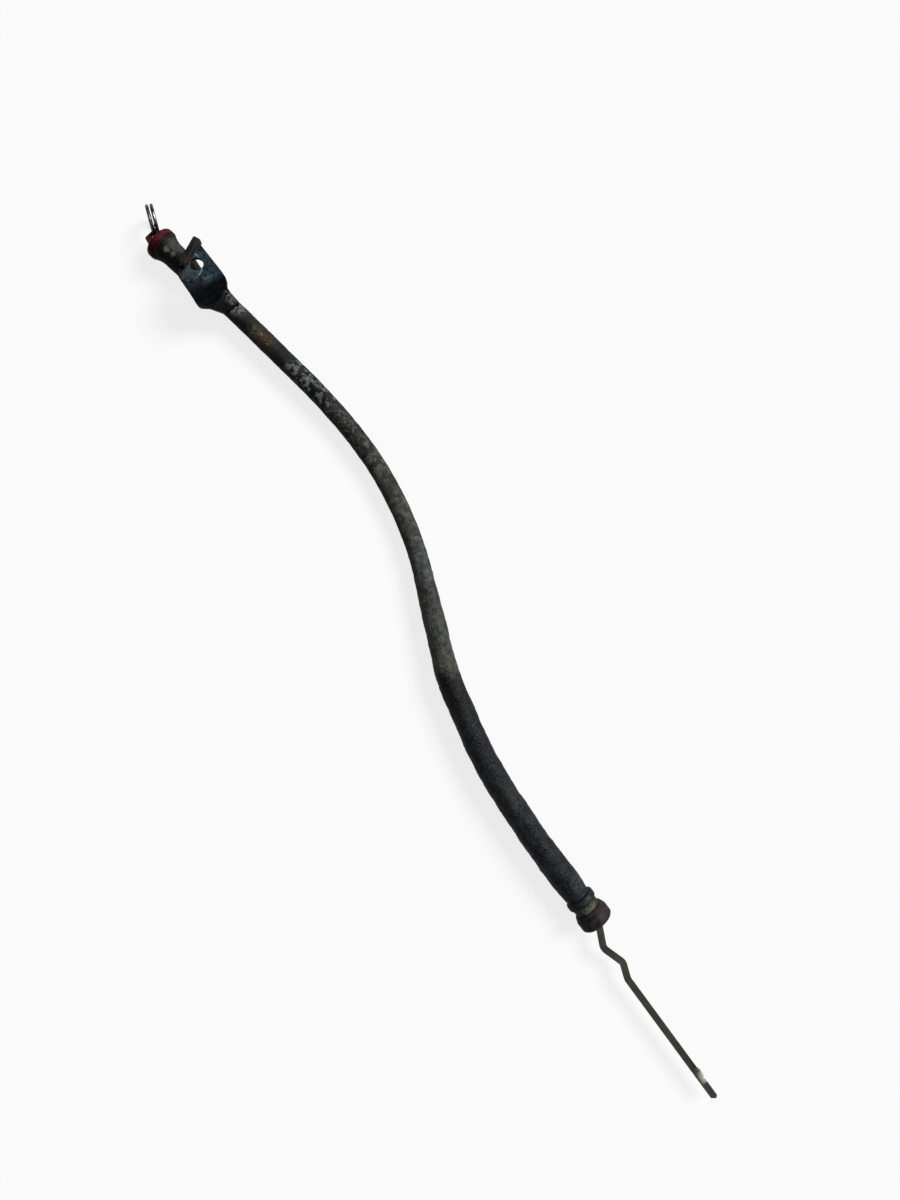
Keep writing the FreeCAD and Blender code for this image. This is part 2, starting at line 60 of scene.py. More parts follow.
def linear(code: str) -> tuple[float, float, float, float]:
    """Turns a display colour into the linear one that a shader takes.

    Args:
        code: Hex colour such as "#4b4c49".

    Returns:
        Red, green, blue and alpha.
    """
    parts = [int(code[place : place + 2], 16) / 255 for place in (1, 3, 5)]
    low = [part / 12.92 for part in parts]
    high = [((part + 0.055) / 1.055) ** 2.4 for part in parts]
    mixed = [a if part <= 0.04045 else b for part, a, b in zip(parts, low, high)]
    return (mixed[0], mixed[1], mixed[2], 1.0)


@dataclass(frozen=True)
class Eye:
    """The place that the object is looked at from, straight down, in millimetres."""

    x: float = 9.64
    y: float = 25.7
    z: float = 457.5
    focal: float = 900.0
    middle_x: float = 450.0
    middle_y: float = 600.0

    def seen(self, across: float, down: float, height: float = 12.0) -> Vector:
        """Finds the point of the row frame that shows at a place of the picture.

        Args:
            across: Picture units to the right of the left edge.
            down: Picture units below the top edge.
            height: Height of the point over the floor, in millimetres.

        Returns:
            The point in millimetres.
        """
        scale = (self.z - height) / self.focal
        x = self.x + (across - self.middle_x) * scale
        y = self.y - (down - self.middle_y) * scale
        return Vector((x, y, height))


EYE = Eye()


class Graph:
    """A node tree that is written as a chain of small calls."""

    def __init__(self, tree: bpy.types.NodeTree) -> None:
        """Empties the tree and keeps it."""
        self.tree = tree
        tree.nodes.clear()

    def add(self, kind: str, inputs: dict | None = None, **settings: object) -> bpy.types.Node:
        """Adds a node.

        Args:
            kind: Blender's name of the node's type.
            inputs: Value or socket for each input, by its name or place.
            settings: Attributes of the node.

        Returns:
            The node.
        """
        node = self.tree.nodes.new(kind)
        for name, value in settings.items():
            setattr(node, name, value)
        for name, value in (inputs or {}).items():
            if isinstance(value, bpy.types.NodeSocket):
                self.tree.links.new(value, node.inputs[name])
            else:
                node.inputs[name].default_value = value
        return node

    def millimetres(self) -> bpy.types.NodeSocket:
        """Position on the object in millimetres."""
        place = self.add("ShaderNodeTexCoord").outputs["Object"]
        scaled = self.add("ShaderNodeVectorMath", {0: place, "Scale": 1 / MM}, operation="SCALE")
        return scaled.outputs[0]

    def math(self, operation: str, first: object, second: object = 0.0) -> bpy.types.NodeSocket:
        """Result of one calculation."""
        return self.add("ShaderNodeMath", {0: first, 1: second}, operation=operation).outputs[0]

    def noise(self, size: float, detail: float = 3.0, curl: float = 0.0) -> bpy.types.NodeSocket:
        """Cloudy pattern.

        Args:
            size: Size of its main lumps in millimetres.
            detail: Number of finer layers.
            curl: How far the lumps are twisted into one another.

        Returns:
            Values about 0.5.
        """
        inputs = {"Vector": self.millimetres(), "Scale": 1 / size, "Detail": detail, "Distortion": curl}
        return self.add("ShaderNodeTexNoise", inputs).outputs["Fac"]

    def step(self, value: object, low: float, high: float) -> bpy.types.NodeSocket:
        """Smooth rise from 0 to 1 as the value goes from low to high."""
        inputs = {"Value": value, "From Min": low, "From Max": high}
        return self.add("ShaderNodeMapRange", inputs, interpolation_type="SMOOTHSTEP").outputs[0]

    def mix(self, share: object, first: object, second: object) -> bpy.types.NodeSocket:
        """Blend of two colours, the second by the share."""
        node = self.add("ShaderNodeMix", {0: share, 6: first, 7: second}, data_type="RGBA")
        return node.outputs[2]

    def near(self, point: Vector, reach: float, soft: float = 0.4) -> bpy.types.NodeSocket:
        """Patch round a point, ragged at its edge.

        Args:
            point: Middle of the patch in millimetres.
            reach: Radius of the patch in millimetres.
            soft: Share of the radius over which it fades.

        Returns:
            1 inside, 0 outside.
        """
        inputs = {0: self.millimetres(), 1: tuple(point)}
        gap = self.add("ShaderNodeVectorMath", inputs, operation="DISTANCE").outputs["Value"]
        ragged = self.math("MULTIPLY_ADD", self.noise(reach * RAGGED_LUMP, 4.0), reach * RAGGED)
        ragged.node.inputs[2].default_value = -reach * RAGGED / 2
        gap = self.math("ADD", gap, ragged)
        return self.math("SUBTRACT", 1.0, self.step(gap, reach * (1 - soft), reach))


Layer = Callable[[Graph, bpy.types.NodeSocket], bpy.types.NodeSocket]


@dataclass(frozen=True)
class Finish:
    """One surface: a mottled base, layers over it, and its relief."""

    name: str
    dark: str
    light: str
    mottle: float = 3.0
    contrast: tuple[float, float] = (0.4, 0.6)
    roughness: tuple[float, float] = (0.4, 0.65)
    metallic: float = 0.0
    specular: float = 0.18
    grain: float = 0.5
    relief: float = 0.15
    curl: float = 0.0
    detail: float = 4.0
    layers: tuple[Layer, ...] = field(default=())

    def material(self) -> bpy.types.Material:
        """Builds the material once and returns it."""
        known = bpy.data.materials.get(self.name)
        if known is not None:
            return known
        material = bpy.data.materials.new(self.name)
        material.use_nodes = True
        graph = Graph(material.node_tree)
        cloud = graph.noise(self.mottle, 5.0)
        colour = graph.mix(graph.step(cloud, *self.contrast), linear(self.dark), linear(self.light))
        for layer in self.layers:
            colour = layer(graph, colour)
        rough = graph.add("ShaderNodeMapRange", {"Value": graph.noise(self.mottle * 0.4)})
        rough.inputs["To Min"].default_value = self.roughness[0]
        rough.inputs["To Max"].default_value = self.roughness[1]
        height = graph.noise(self.grain, self.detail, self.curl)
        inputs = {"Strength": 1.0, "Distance": self.relief * MM, "Height": height}
        bump = graph.add("ShaderNodeBump", inputs)
        surface = graph.add(
            "ShaderNodeBsdfPrincipled",
            {
                "Base Color": colour,
                "Metallic": self.metallic,
                "Roughness": rough.outputs[0],
                "Specular IOR Level": self.specular,
                "Normal": bump.outputs[0],
            },
        )
        graph.add("ShaderNodeOutputMaterial", {"Surface": surface.outputs[0]})
        return material


def patch(
    point: Vector,
    reach: float,
    code: str,
    share: float = 1.0,
    lump: float = 1.2,
    gap: float = 0.45,
    powder: float = 0.6,
    soft: float = 0.4,
    edge: float = CRISP,
) -> Layer:
    """Layer of one broken-up patch of another colour.

    Args:
        point: Middle of the patch in millimetres.
        reach: Its radius in millimetres.
        code: Its colour.
        share: How fully it covers.
        lump: Size in millimetres of the islands that it breaks into.
        gap: How much of it is missing, from 0 for none to 1 for all.
        powder: How thin its thinnest places are, from 0 for solid to 1 for bare.
        soft: Share of the radius over which it fades.
        edge: How blurred the edges of its islands are.

    Returns:
        The layer.
    """

    def lay(graph: Graph, colour: bpy.types.NodeSocket) -> bpy.types.NodeSocket:
        """Adds the patch over a colour."""
        broken = graph.step(graph.noise(lump, 8.0), gap, gap + edge)
        cover = graph.math("MULTIPLY", graph.near(point, reach, soft), broken)
        if powder:
            thick = graph.step(graph.noise(lump * POWDER_LUMP, 3.0), 0.4, 0.6)
            thick = graph.math("ADD", graph.math("MULTIPLY", thick, powder), 1.0 - powder)
            cover = graph.math("MULTIPLY", cover, thick)
        return graph.mix(graph.math("MULTIPLY", cover, share), colour, linear(code))

    return lay


def speckle(size: float, limit: float, code: str, share: float = 1.0) -> Layer:
    """Layer of specks all over.

    Args:
        size: Size of the pattern in millimetres.
        limit: Value of the pattern over which a speck shows.
        code: Colour of the specks.
        share: How fully they cover.

    Returns:
        The layer.
    """

    def lay(graph: Graph, colour: bpy.types.NodeSocket) -> bpy.types.NodeSocket:
        """Adds the specks over a colour."""
        cover = graph.step(graph.noise(size, 3.0), limit, limit + CRISP)
        return graph.mix(graph.math("MULTIPLY", cover, share), colour, linear(code))

    return lay


def ring_mark(point: Vector, inner: float, outer: float, code: str, share: float) -> Layer:
    """Layer of the ring that a washer leaves round a hole.

    Args:
        point: Middle of the hole in millimetres.
        inner: Inner radius in millimetres.
        outer: Outer radius in millimetres.
        code: Colour of the ring.
        share: How fully it covers.

    Returns:
        The layer.
    """

    def lay(graph: Graph, colour: bpy.types.NodeSocket) -> bpy.types.NodeSocket:
        """Adds the ring over a colour."""
        inputs = {0: graph.millimetres(), 1: tuple(point)}
        gap = graph.add("ShaderNodeVectorMath", inputs, operation="DISTANCE").outputs["Value"]
        gap = graph.math("ADD", gap, graph.math("MULTIPLY", graph.noise(WANDER_LUMP), WANDER))
        rise = graph.step(gap, inner, inner + 0.4)
        fall = graph.math("SUBTRACT", 1.0, graph.step(gap, outer, outer + 0.6))
        worn = graph.step(graph.noise(1.6, 6.0), 0.4, 0.56)
        cover = graph.math("MULTIPLY", graph.math("MULTIPLY", rise, fall), worn)
        return graph.mix(graph.math("MULTIPLY", cover, share), colour, linear(code))

    return lay


@dataclass(frozen=True)
class Band:
    """Layer on the part of the object that lies far along a direction, all in millimetres."""

    axis: tuple[float, float, float]
    low: float
    high: float
    dark: str
    light: str = ""
    share: float = 1.0
    ragged: float = 1.0
    lump: float = 3.0

    def __call__(self, graph: Graph, colour: bpy.types.NodeSocket) -> bpy.types.NodeSocket:
        """Adds the band over a colour.

        Args:
            graph: Tree of the material.
            colour: Colour under the band.

        Returns:
            The mixed colour.
        """
        inputs = {0: graph.millimetres(), 1: self.axis}
        far = graph.add("ShaderNodeVectorMath", inputs, operation="DOT_PRODUCT").outputs["Value"]
        far = graph.math("ADD", far, graph.math("MULTIPLY", graph.noise(self.lump, 4.0), 2 * self.ragged))
        rise = graph.step(far, self.low + self.ragged, self.high + self.ragged)
        own = linear(self.dark)
        if self.light:
            own = graph.mix(graph.step(graph.noise(self.lump, 5.0), 0.4, 0.6), own, linear(self.light))
        return graph.mix(graph.math("MULTIPLY", rise, self.share), colour, own)


@dataclass(frozen=True)
class Bend:
    """One bend of the tube: the run up to it and its radius in millimetres, its turn in degrees."""

    run: float
    turn: float
    radius: float


@dataclass
class Route:
    """Centreline of the guide tube in the row frame, measured in millimetres from the mouth."""

    mouth: Vector = field(default_factory=lambda: Vector((-132.985, 202.131, 8.162)))
    floor: Vector = field(default_factory=lambda: Vector((-0.0920017, -0.0603855, 0.9939262)))
    heading: float = -42.4
    bends: tuple[Bend, ...] = (
        Bend(51.3, -1.9, 300.0),
        Bend(59.4, -5.8, 300.0),
        Bend(61.2, -26.5, 185.0),
        Bend(94.3, 9.8, 70.0),
        Bend(49.5, 10.9, 250.0),
        Bend(51.3, 3.9, 300.0),
    )
    last_run: float = 38.7

    def __post_init__(self) -> None:
        """Works out the straight runs and the arcs."""
        self.turned: Quaternion = self.floor.rotation_difference(Vector((0, 0, 1)))
        self.parts: list[tuple[float, float, Vector, float, float]] = []
        point = Vector((0.0, 0.0))
        heading = self.heading
        start = used = 0.0
        for place, bend in enumerate(self.bends):
            after = self.bends[place + 1].run if place + 1 < len(self.bends) else self.last_run
            half = math.tan(math.radians(abs(bend.turn)) / 2)
            reach = min(bend.radius * half, min(bend.run, after) - used)
            arc = reach / half * math.radians(abs(bend.turn))
            for length, turn in ((bend.run - used - reach, 0.0), (arc, bend.turn)):
                part = (start, length, point, heading, turn)
                self.parts.append(part)
                point, heading = self.along(part, length)
                start += length
            used = reach
        self.parts.append((start, self.last_run - used, point, heading, 0.0))
        self.length = start + self.last_run - used

    @staticmethod
    def along(part: tuple[float, float, Vector, float, float], distance: float) -> tuple[Vector, float]:
        """Flat point and heading at a distance along a run or an arc."""
        _, length, point, heading, turn = part
        angle = math.radians(heading)
        if turn == 0.0:
            return point + Vector((math.cos(angle), math.sin(angle))) * distance, heading
        side = math.copysign(math.pi / 2, turn)
        radius = length / math.radians(abs(turn))
        centre = point + Vector((math.cos(angle + side), math.sin(angle + side))) * radius
        now = angle + math.radians(turn) * distance / length
        return centre - Vector((math.cos(now + side), math.sin(now + side))) * radius, math.degrees(now)

    def at(self, distance: float) -> tuple[Vector, Vector, Vector, Vector]:
        """Finds a place on the centreline.

        Args:
            distance: Millimetres from the mouth.

        Returns:
            The point, and unit vectors ahead, to the left and up, in the row frame.
        """
        chosen = self.parts[0]
        for part in self.parts:
            if part[0] <= distance:
                chosen = part
        flat, heading = self.along(chosen, distance - chosen[0])
        angle = math.radians(heading)
        ahead = self.turned @ Vector((math.cos(angle), math.sin(angle), 0.0))
        left = self.turned @ Vector((-math.sin(angle), math.cos(angle), 0.0))
        up = self.turned @ Vector((0.0, 0.0, 1.0))
        return self.turned @ flat.to_3d() + self.mouth, ahead, left, up


ROUTE = Route()


def skin(
    name: str, stations: list[tuple[float, float]], segments: int, origin: float = 0.0
) -> bpy.types.Object:
    """Builds a round skin along the route, closed at both ends.

    Args:
        name: Name of the piece.
        stations: Distance along the route from the origin, and radius, in millimetres.
        segments: Points round it.
        origin: Distance along the route that the stations count from.

    Returns:
        The object.
    """
    points = []
    for distance, radius in stations:
        middle, _, left, up = ROUTE.at(origin + distance)
        for place in range(segments):
            angle = 2 * math.pi * place / segments
            points.append((middle + (left * math.cos(angle) + up * math.sin(angle)) * radius) * MM)
    faces = []
    for ring in range(len(stations) - 1):
        for place in range(segments):
            here = ring * segments + place
            beside = ring * segments + (place + 1) % segments
            faces.append((here, beside, beside + segments, here + segments))
    last = len(points) - segments
    faces.append(tuple(reversed(range(segments))))
    faces.append(tuple(range(last, last + segments)))
    mesh = bpy.data.meshes.new(name)
    mesh.from_pydata(points, [], faces)
    mesh.shade_smooth()
    made = bpy.data.objects.new(name, mesh)
    bpy.context.scene.collection.objects.link(made)
    return made


def between(start: float, end: float, spacing: float) -> list[float]:
    """Even distances from start to end, about a spacing apart."""
    count = max(1, round((end - start) / spacing))
    return [start + (end - start) * place / count for place in range(count + 1)]


class NodeMaker:
    """A Geometry Nodes tree that changes a piece once and is then baked."""

    def __init__(self, name: str, sockets: dict[str, tuple[str, object]]) -> None:
        """Starts a tree.

        Args:
            name: Name of the tree.
            sockets: Type and value of each of its inputs, by name.
        """
        self.tree = bpy.data.node_groups.new(name, "GeometryNodeTree")
        self.graph = Graph(self.tree)
        face = self.tree.interface
        face.new_socket("Geometry", in_out="INPUT", socket_type="NodeSocketGeometry")
        face.new_socket("Geometry", in_out="OUTPUT", socket_type="NodeSocketGeometry")
        self.values: dict[str, object] = {}
        for label, (kind, value) in sockets.items():
            item = face.new_socket(label, in_out="INPUT", socket_type=kind)
            self.values[item.identifier] = value
        self.start = self.graph.add("NodeGroupInput")

    def finish(self, geometry: bpy.types.NodeSocket, material: bpy.types.Material) -> None:
        """Ends the tree: real geometry with its material."""
        real = self.graph.add("GeometryNodeRealizeInstances", {"Geometry": geometry})
        dressed = self.graph.add(
            "GeometryNodeSetMaterial", {"Geometry": real.outputs[0], "Material": material}
        )
        self.graph.add("NodeGroupOutput", {"Geometry": dressed.outputs[0]})

    def bake(self, source: bpy.types.Object, name: str) -> bpy.types.Object:
        """Runs the tree on a piece and keeps the result as a plain mesh.

        Args:
            source: The piece that it starts from, which is left as it was.
            name: Name of the new piece.

        Returns:
            The new piece.
        """
        modifier = source.modifiers.new(name, "NODES")
        modifier.node_group = self.tree
        for identifier, value in self.values.items():
            modifier[identifier] = value
        depsgraph = bpy.context.evaluated_depsgraph_get()
        mesh = bpy.data.meshes.new_from_object(source.evaluated_get(depsgraph), depsgraph=depsgraph)
        source.modifiers.remove(modifier)
        made = bpy.data.objects.new(name, mesh)
        bpy.context.scene.collection.objects.link(made)
        return made


def weathered(
    plain: bpy.types.Object,
    name: str,
    depth: float,
    lump: float,
    wrinkle: float,
    material: bpy.types.Material,
) -> bpy.types.Object:
    """Sinks broad lumps and curled wrinkles into a smooth skin, which is then removed.

    Args:
        plain: The smooth skin.
        name: Name of the new piece.
        depth: Depth of the deepest places in millimetres.
        lump: Size of the lumps in millimetres.
        wrinkle: Size of the wrinkles in millimetres.
        material: Material of the new piece.

    Returns:
        The new piece.
    """
    maker = NodeMaker(
        "weathering",
        {
            "Depth": ("NodeSocketFloat", depth * MM),
            "Lump": ("NodeSocketFloat", lump * MM),
            "Wrinkle": ("NodeSocketFloat", wrinkle * MM),
        },
    )
    graph = maker.graph
    start = maker.start.outputs
    place = graph.add("GeometryNodeInputPosition").outputs[0]
    normal = graph.add("GeometryNodeInputNormal").outputs[0]
    heights = []
    shares = (("Lump", 0.7, 0.0), ("Wrinkle", 0.3, 1.2))
    for label, share, curl in shares:
        scale = graph.math("DIVIDE", 1.0, start[label])
        inputs = {"Vector": place, "Scale": scale, "Detail": 2.0, "Distortion": curl}
        rise = graph.step(graph.add("ShaderNodeTexNoise", inputs).outputs[0], 0.25, 0.75)
        heights.append(graph.math("MULTIPLY", rise, share))
    sunk = graph.math("SUBTRACT", graph.math("ADD", *heights), 1.0)
    push = graph.math("MULTIPLY", sunk, start["Depth"])
    offset = graph.add("ShaderNodeVectorMath", {0: normal, "Scale": push}, operation="SCALE")
    inputs = {"Geometry": start["Geometry"], "Offset": offset.outputs[0]}
    moved = graph.add("GeometryNodeSetPosition", inputs)
    maker.finish(moved.outputs[0], material)
    made = maker.bake(plain, name)
    bpy.data.objects.remove(plain)
    return made


def enlist(piece: bpy.types.Object, slot: str, *nodes: str) -> None:
    """Attaches a piece to the root body, hides the CAD nodes that it stands for, and logs its face count.
    """
    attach(piece, "root")
    if nodes:
        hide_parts(*nodes)
    LOG.info("%s: %d faces", piece.name, len(piece.data.polygons))


CHALK = (
    Band((0.0, -1.0, 0.0), -110.0, -60.0, "#2f312c", "#484943", 0.85, 6.0, 2.6),
    patch(EYE.seen(372, 462), 16.0, "#74756f", 0.6, 2.8, 0.42, edge=0.22),
    patch(EYE.seen(400, 512), 14.0, "#74756f", 0.55, 3.2, 0.43, edge=0.22),
    patch(EYE.seen(424, 558), 16.0, "#6c7578", 0.55, 2.8, 0.42, edge=0.22),
    patch(EYE.seen(440, 625), 15.0, "#50585a", 0.45, 2.8, 0.42, edge=0.22),
    speckle(0.7, 0.6, "#0d0e0d", 0.35),
)


@dataclass
class GuideTube:
    """Bent steel tube with a flared mouth, painted, flaking and rusty."""

    radius: float = 5.0
    socket_radius: float = 6.25
    flare_radius: float = 8.1
    wall: float = 1.0
    flare_length: float = 6.0
    flare_curve: float = 1.9
    rim_rounding: float = 0.05
    socket_length: float = 15.0
    taper_length: float = 5.0
    end: float = 403.9
    spacing: float = 0.8
    segments: int = 64
    depth: float = 0.3
    lump: float = 5.0
    wrinkle: float = 1.6
    flake_count: float = 0.045
    flake_radius: float = 1.0
    flake_top_radius: float = 0.75
    flake_thickness: float = 0.05
    flake_cloud: float = 9.0
    flake_seed: int = 11
    size_seed: int = 3

    def finish(self) -> Finish:
        """Worn paint with bare, rusty and chalky places, plus painted light and shade: a greyer, partly
        lit upper-right flank, a lit streak and black painted shade at the neck, a painted highlight below
        the bracket and a painted shadow line under the stopper.
        """
        back = (-0.737, 0.675, 0.027)
        return Finish(
            "tube paint",
            "#131413",
            "#292925",
            mottle=4.0,
            contrast=(0.38, 0.66),
            roughness=(0.5, 0.7),
            specular=0.1,
            grain=0.8,
            relief=0.3,
            curl=0.6,
            layers=(
                # Greyer tone and painted light on the upper-right flank, the side that faces the lamp.
                Band((0.35, 0.35, 0.0), 12.0, 18.0, "#242320", "#343330", 0.6, 3.0, 2.5),
                # Painted light: a greenish-grey lit streak on the upper-right flank of the neck.
                patch(EYE.seen(177, 243, 14.0), 5.5, "#454a43", 0.8, 3.0, 0.4),
                # Painted shade: black over the lower-left flank of the neck, the side away from the lamp.
                patch(EYE.seen(158, 254, 13.0), 7.5, "#080808", 0.95, 9.0, 0.05, powder=0.0),
                patch(EYE.seen(170, 264, 13.0), 6.5, "#0a0a09", 0.95, 9.0, 0.05, powder=0.0),
                patch(EYE.seen(166, 249, 15.0), 2.0, "#7a7270", 0.9, 2.0, 0.36),
                patch(EYE.seen(173, 254, 14.0), 1.6, "#5d5f59", 0.8, 3.0, 0.3),
                patch(EYE.seen(228, 296), 6.0, "#58676c", 0.7, 0.9, 0.54),
                # Painted highlight: a soft pale patch on the tube just below the bracket.
                patch(EYE.seen(238, 305), 6.5, "#9c9b96", 0.85, 0.9, 0.48, powder=0.6, soft=0.7),
                patch(EYE.seen(252, 332), 5.0, "#6a5f4b", 0.55, 1.4, 0.42),
                patch(EYE.seen(264, 342), 6.5, "#4d3826", 0.85, 2.0, 0.42),
                patch(EYE.seen(247, 326), 3.5, "#070707", 1.0, 1.0, 0.4),
                patch(EYE.seen(282, 362), 12.0, "#10171b", 0.8, 4.0, 0.4),
                patch(EYE.seen(308, 392), 13.0, "#0b0d0d", 0.9, 4.0, 0.42, powder=0.0),
                patch(EYE.seen(299, 375), 11.0, "#77807f", 0.85, 2.2, 0.5),
                patch(EYE.seen(318, 398), 12.0, "#727a7c", 0.8, 2.2, 0.5),
                patch(EYE.seen(338, 425), 12.0, "#6a6c68", 0.6, 1.4, 0.52),
                *CHALK,
                speckle(0.6, 0.64, "#82857f", 0.22),
                speckle(0.9, 0.6, "#0a0b0a", 0.5),
                # Painted shade: a black line on the rim, in the gap under the stopper's flange; the red
                # after it is the stopper's colour carried onto the rim.
                Band(back, 233.2, 233.4, "#040202", "", 1.0, 0.1),
                Band(back, 233.6, 233.8, "#2a1113", "#451c20", 1.0, 0.1),
            ),
        )

    def radii(self) -> list[tuple[float, float]]:
        """Stations from inside the mouth over its rim and down the tube."""
        stations = [(self.flare_length * 2, self.socket_radius - self.wall)]
        for share in (1.0, 0.66, 0.33, 0.0):
            stations.append((self.flare_length * share, self.flare(share) - self.wall))
        stations.append((self.rim_rounding, self.flare_radius - self.wall / 2))
        for share in (0.0, 0.12, 0.25, 0.4, 0.6, 0.8, 1.0):
            stations.append((self.flare_length * share + self.rim_rounding, self.flare(share)))
        taper = self.socket_length + self.taper_length
        for distance in between(self.flare_length + 1, self.socket_length, 1.5):
            stations.append((distance, self.socket_radius))
        for distance in between(self.socket_length + 1, taper, 1.0):
            share = (distance - self.socket_length) / self.taper_length
            stations.append((distance, self.socket_radius + (self.radius - self.socket_radius) * share))
        for distance in between(taper + self.spacing, self.end, self.spacing):
            stations.append((distance, self.radius))
        return stations

    def flare(self, share: float) -> float:
        """Outer radius of the mouth at a share of the flare's length."""
        rise = self.flare_radius - self.socket_radius
        return self.socket_radius + rise * (1 - share) ** self.flare_curve

    def build(self) -> None:
        """Builds the tube's skin and the flakes of paint on it."""
        plain = skin("tube_blank", self.radii(), self.segments)
        material = self.finish().material()
        tube = weathered(plain, "tube_skin", self.depth, self.lump, self.wrinkle, material)
        self.flakes(tube)
        enlist(tube, "tube_paint", "guide_tube")

    def flakes(self, tube: bpy.types.Object) -> None:
        """Scatters lifted flakes of paint over the tube."""
        maker = NodeMaker(
            "flake_scatter",
            {
                "Density": ("NodeSocketFloat", self.flake_count / MM**2),
                "Seed": ("NodeSocketInt", self.flake_seed),
            },
        )
        graph = maker.graph
        start = maker.start.outputs
        place = graph.add("GeometryNodeInputPosition").outputs[0]
        inputs = {"Vector": place, "Scale": 1 / (self.flake_cloud * MM), "Detail": 2.0}
        cloud = graph.add("ShaderNodeTexNoise", inputs)
        inputs = {"Value": cloud.outputs[0], "From Min": 0.5, "From Max": 0.6}
        there = graph.add("ShaderNodeMapRange", inputs)
        density = graph.math("MULTIPLY", there.outputs[0], start["Density"])
        spots = graph.add(
            "GeometryNodeDistributePointsOnFaces",
            {"Mesh": start["Geometry"], "Density": density, "Seed": start["Seed"]},
        )
        inputs = {"Vertices": 7, "Depth": self.flake_thickness * MM}
        chip = graph.add("GeometryNodeMeshCone", inputs)
        chip.inputs["Radius Top"].default_value = self.flake_top_radius * MM
        chip.inputs["Radius Bottom"].default_value = self.flake_radius * MM
        size = graph.add(
            "FunctionNodeRandomValue",
            {0: (0.35, 0.2, 0.4), 1: (1.0, 0.7, 1.0), "Seed": self.size_seed},
            data_type="FLOAT_VECTOR",
        )
        inputs = {0: size.outputs[0], 1: (0.9, 0.9, 0.9)}
        scaled = graph.add("ShaderNodeVectorMath", inputs, operation="MULTIPLY")
        chips = graph.add(
            "GeometryNodeInstanceOnPoints",
            {
                "Points": spots.outputs["Points"],
                "Instance": chip.outputs["Mesh"],
                "Rotation": spots.outputs["Rotation"],
                "Scale": scaled.outputs[0],
            },
        )
        paint = Finish("loose paint", "#2b2d2b", "#63665f", mottle=1.5)
        maker.finish(chips.outputs[0], paint.material())
        flakes = maker.bake(tube, "paint_flakes")
        enlist(flakes, "tube_paint")


@dataclass
class Sleeve:
    """Rubber sleeve over the tube, thickening downwards, wrinkled, with a worn lip at its lower end."""

    length: float = 180.0
    start: float = 210.9
    shoulder_at: float = 57.0
    top_radius: float = 5.3
    shoulder_radius: float = 6.5
    end_radius: float = 7.4
    tube_radius: float = 5.0
    lip_length: float = 9.0
    lip_radius: float = 6.7
    lip_reach: float = 1.9
    lip_rounding: float = 0.3
    lip_drop: float = 0.9
    tuck: float = 0.8
    depth: float = 0.7
    lump: float = 9.0
    wrinkle: float = 2.0
    spacing: float = 0.5
    segments: int = 96

    def finish(self) -> Finish:
        """Aged rubber, slate with brown and scuffed places, with painted light on the upper-right flank
        and painted glints.
        """
        return Finish(
            "sleeve rubber",
            "#0b0f12",
            "#1b242a",
            mottle=5.0,
            contrast=(0.38, 0.66),
            roughness=(0.4, 0.52),
            specular=0.2,
            grain=1.6,
            relief=0.6,
            curl=2.0,
            detail=2.6,
            layers=(
                # Greyer tone and painted light on the upper-right flank, the side that faces the lamp.
                Band((0.35, 0.35, 0.0), 0.0, 8.0, "#1c1c1b", "#282827", 0.5, 3.0, 2.5),
                Band((0.0, 1.0, 0.0), -75.0, 0.0, "#0b0b0a", "#191815", 0.85, 8.0, 4.0),
                Band((0.0, 1.0, 0.0), -17.0, -5.0, "#2f312c", "#484943", 0.9, 5.0, 2.6),
                *CHALK[1:-1],
                patch(EYE.seen(441, 696), 14.0, "#0b0b0b", 0.85, 7.0, 0.2, powder=0.0),
                patch(EYE.seen(446, 662), 8.0, "#5d5c4e", 0.5, 2.0, 0.45),
                speckle(1.0, 0.6, "#050606", 0.7),
                # Painted highlights: small blue-grey glints spread over the rubber.
                speckle(0.9, 0.66, "#4a5356", 0.25),
                patch(EYE.seen(453, 715), 4.0, "#47352a", 0.6, 1.6),
                # Brownish tint and painted light on the lit upper-right of the lower sleeve.
                patch(EYE.seen(512, 795), 9.0, "#34312e", 0.6, 2.5, 0.4),
                patch(EYE.seen(575, 883), 5.0, "#4a5455", 0.7, 1.2, 0.48),
                patch(EYE.seen(569, 905), 6.0, "#050606", 0.8, 3.0, 0.4, powder=0.0),
            ),
        )

    def radius(self, distance: float) -> float:
        """Outer radius at a distance from the sleeve's upper end."""
        if distance < self.shoulder_at:
            share = distance / self.shoulder_at
            return self.top_radius + (self.shoulder_radius - self.top_radius) * share
        share = (distance - self.shoulder_at) / (self.length - self.shoulder_at)
        full = self.shoulder_radius + (self.end_radius - self.shoulder_radius) * share
        worn = max(0.0, (distance - self.length + self.lip_length) / self.lip_length)
        return full - (self.end_radius - self.lip_radius) * worn**2

    def build(self) -> None:
        """Builds the sleeve's skin and wrinkles it."""
        last = self.length + self.lip_reach
        rounding = self.lip_rounding
        stations = [(0.0, self.tube_radius - self.tuck), (0.0, self.tube_radius - rounding)]
        for distance in between(self.spacing, last - self.tuck, self.spacing):
            stations.append((distance, self.radius(distance)))
        stations.append((last - rounding, self.lip_radius - rounding))
        stations.append((last, self.lip_radius - self.lip_drop))
        stations.append((last, self.tube_radius))
        plain = skin("sleeve_blank", stations, self.segments, self.start)
        material = self.finish().material()
        sleeve = weathered(plain, "sleeve_skin", self.depth, self.lump, self.wrinkle, material)
        enlist(sleeve, "sleeve_rubber", "protective_sleeve")


class Edge(Enum):
    """How far the edges of a plain piece are broken, in millimetres."""

    NONE = 0.0
    FINE = 0.12
    SOFT = 0.35


